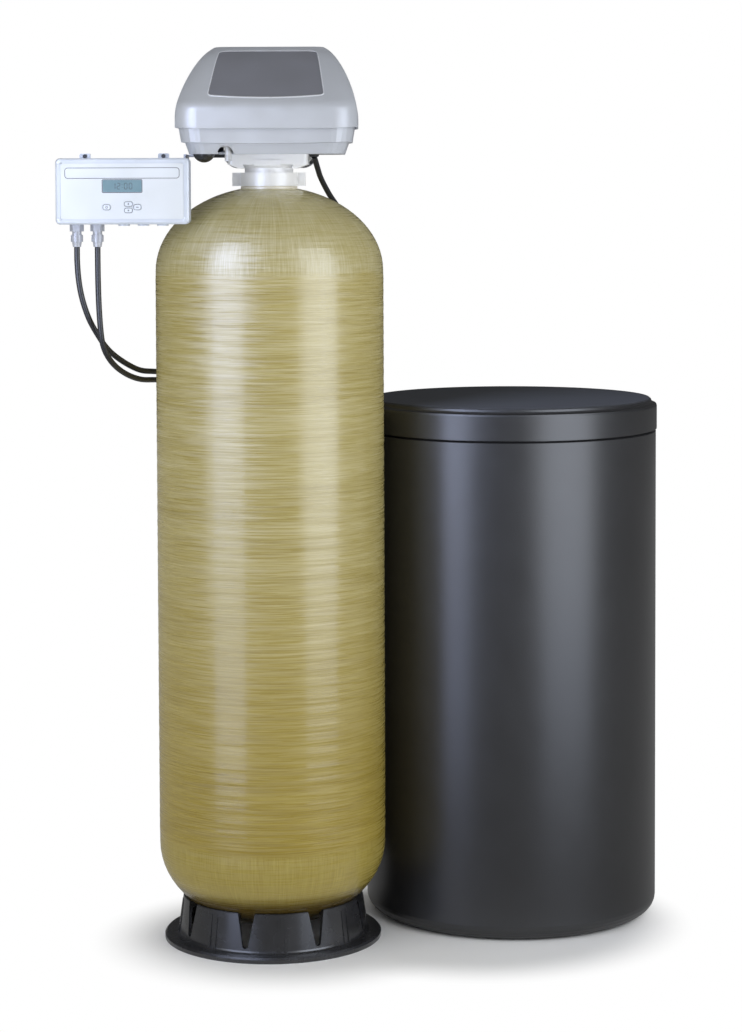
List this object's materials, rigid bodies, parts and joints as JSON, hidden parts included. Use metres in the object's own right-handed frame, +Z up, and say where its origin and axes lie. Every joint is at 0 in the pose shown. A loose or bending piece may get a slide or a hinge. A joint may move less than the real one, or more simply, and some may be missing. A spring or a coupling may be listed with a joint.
{
  "type": "water softener",
  "caption": "Water softener with a wound resin tank on a notched base, a hooded motor valve on its neck, a remote controller on cables and a lidded brine tank.",
  "frame": {"origin": "on the floor, on the resin tank's axis", "axes": "+Z up, -Y to the front with the display, +X toward the brine tank"},
  "size_m": [0.9593, 0.6338, 1.427],
  "materials": {
    "wound_glass": "wound glass fibre in clear resin, satin gloss",
    "cream_plastic": "moulded, satin",
    "black_plastic": "moulded, glossy",
    "white_plastic": "moulded, satin",
    "inner_plastic": "moulded, matt",
    "resin_beads": "fine amber beads",
    "gravel": "washed gravel",
    "steel": "zinc plated",
    "black_steel": "black coated",
    "seal_rubber": "moulded",
    "grey_plastic": "moulded, fine satin texture",
    "panel_grey": "printed film, satin",
    "case_plastic": "moulded, satin",
    "panel_white": "printed film, satin",
    "button_grey": "moulded, satin",
    "display_glass": "reflective liquid crystal",
    "board": "coated board",
    "gland_grey": "translucent nylon",
    "cable_black": "smooth sheath",
    "brine_black": "blow moulded, satin",
    "float_orange": "moulded"
  },
  "bodies": {
    "softener": {"tank_shell": "wound_glass", "neck_insert": "cream_plastic", "tank_base": "black_plastic", "inlet_adaptor": "black_plastic", "outlet_adaptor": "black_plastic", "venturi_body": "black_plastic", "venturi_cap": "black_plastic", "overflow_elbow": "black_plastic", "flow_sensor": "black_plastic", "position_switch": "black_plastic", "valve_body": "white_plastic", "clamp_front": "white_plastic", "clamp_rear": "white_plastic", "valve_cap": "white_plastic", "drain_elbow": "white_plastic", "riser_tube": "inner_plastic", "bottom_distributor": "inner_plastic", "top_distributor": "inner_plastic", "salt_grid": "inner_plastic", "brine_well": "inner_plastic", "brine_pickup": "inner_plastic", "resin_bed": "resin_beads", "gravel_bed": "gravel", "clamp_bolts": "steel", "cap_screws": "steel", "housing_screws": "steel", "motor_plate": "steel", "drive_motor": "steel", "port_clips": "steel", "controller_bracket": "steel", "bracket_screws": "black_steel", "neck_oring": "seal_rubber", "rotor_seal": "seal_rubber", "cable_grommet": "seal_rubber", "housing_base": "grey_plastic", "controller_case": "case_plastic", "controller_bezel": "case_plastic", "front_panel": "panel_white", "display": "display_glass", "circuit_board": "board", "gland_left": "gland_grey", "gland_right": "gland_grey", "valve_cable": "cable_black", "meter_cable": "cable_black", "brine_tank": "brine_black"},
    "hood": {"valve_hood": "grey_plastic", "hood_panel": "panel_grey"},
    "lid": {"brine_lid": "brine_black"},
    "rotor": {"rotor_disc": "white_plastic", "drive_gear": "white_plastic"},
    "pinion": {"motor_shaft": "steel", "motor_pinion": "white_plastic"},
    "turbine": {"turbine_wheel": "white_plastic"},
    "float": {"brine_float": "float_orange"},
    "well_cover": {"well_cap": "inner_plastic"},
    "ball": {"check_ball": "seal_rubber"},
    "key_select": {"button_select": "button_grey"},
    "key_up": {"button_up": "button_grey"},
    "key_down": {"button_down": "button_grey"},
    "key_mode": {"button_mode": "button_grey"}
  },
  "joints": [
    {"name": "hood_lift", "type": "slide", "parent": "softener", "child": "hood", "axis": [0, 0, 1], "range_m": [0, 0.25]},
    {"name": "lid_lift", "type": "slide", "parent": "softener", "child": "lid", "axis": [0, 0, 1], "range_m": [0, 0.45]},
    {"name": "rotor_turn", "type": "hinge", "parent": "softener", "child": "rotor", "pos_m": [0, 0, 1.29599], "axis": [0, 0, 1], "continuous": true},
    {"name": "pinion_turn", "type": "hinge", "parent": "softener", "child": "pinion", "pos_m": [0, 0.0481, 1.29599], "axis": [0, 0, 1], "continuous": true},
    {"name": "turbine_spin", "type": "hinge", "parent": "softener", "child": "turbine", "pos_m": [0.052, 0.0924, 1.25699], "axis": [0, 1, 0], "continuous": true},
    {"name": "float_rise", "type": "slide", "parent": "softener", "child": "float", "axis": [0, 0, 1], "range_m": [0, 0.119]},
    {"name": "well_cap_lift", "type": "slide", "parent": "softener", "child": "well_cover", "axis": [0, 0, 1], "range_m": [0, 0.06]},
    {"name": "ball_lift", "type": "slide", "parent": "softener", "child": "ball", "axis": [0, 0, 1], "range_m": [0, 0.012]},
    {"name": "select_press", "type": "slide", "parent": "softener", "child": "key_select", "axis": [0, 1, 0], "range_m": [0, 0.0008], "stiffness_N_per_m": 400},
    {"name": "up_press", "type": "slide", "parent": "softener", "child": "key_up", "axis": [0, 1, 0], "range_m": [0, 0.0008], "stiffness_N_per_m": 400},
    {"name": "down_press", "type": "slide", "parent": "softener", "child": "key_down", "axis": [0, 1, 0], "range_m": [0, 0.0008], "stiffness_N_per_m": 400},
    {"name": "mode_press", "type": "slide", "parent": "softener", "child": "key_mode", "axis": [0, 1, 0], "range_m": [0, 0.0008], "stiffness_N_per_m": 400}
  ],
  "couplings": [
    {"joint": "pinion_turn", "follows": "rotor_turn", "ratio": -3}
  ]
}
